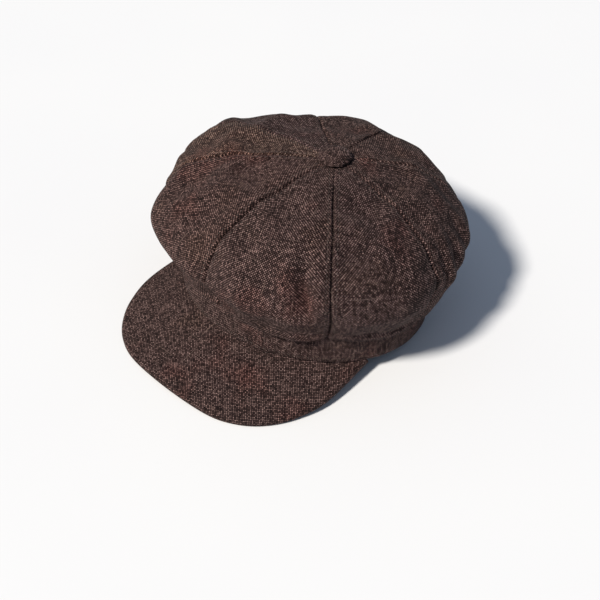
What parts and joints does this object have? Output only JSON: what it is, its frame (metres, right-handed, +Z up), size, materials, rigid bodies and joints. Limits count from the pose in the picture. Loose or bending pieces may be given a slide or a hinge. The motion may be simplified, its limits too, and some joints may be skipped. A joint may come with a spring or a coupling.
{
  "type": "newsboy cap",
  "caption": "Soft panelled newsboy cap in brown linen-look cloth, with a full crown, a covered top button, a narrow band and a stiff visor.",
  "frame": {"origin": "centre of the head opening, at the level of the surface the cap rests on", "axes": "+Z up, -Y the way the visor points, +X towards the wearer's left side"},
  "size_m": [0.2382, 0.2632, 0.129],
  "materials": {
    "linen_cloth": "matt brown linen-look weave with slubs",
    "lining_cloth": "smooth dark brown lining twill",
    "grosgrain": "ribbed dark tape",
    "stiff_interlining": "stiff off-white interlining",
    "visor_plastic": "matt black sheet",
    "button_metal": "plain pressed steel"
  },
  "bodies": {
    "root": {"crown_panel_1": "linen_cloth", "crown_panel_2": "linen_cloth", "crown_panel_3": "linen_cloth", "crown_panel_4": "linen_cloth", "crown_panel_5": "linen_cloth", "crown_panel_6": "linen_cloth", "crown_panel_7": "linen_cloth", "crown_panel_8": "linen_cloth", "lining_panel_1": "lining_cloth", "lining_panel_2": "lining_cloth", "lining_panel_3": "lining_cloth", "lining_panel_4": "lining_cloth", "lining_panel_5": "lining_cloth", "lining_panel_6": "lining_cloth", "lining_panel_7": "lining_cloth", "lining_panel_8": "lining_cloth", "band_left": "linen_cloth", "band_right": "linen_cloth", "band_interlining": "stiff_interlining", "sweatband": "grosgrain", "visor_top_cover": "linen_cloth", "visor_under_cover": "linen_cloth", "visor_board": "visor_plastic", "button_cover": "linen_cloth", "button_shell": "button_metal", "button_post": "button_metal", "button_washer": "button_metal"}
  },
  "joints": []
}
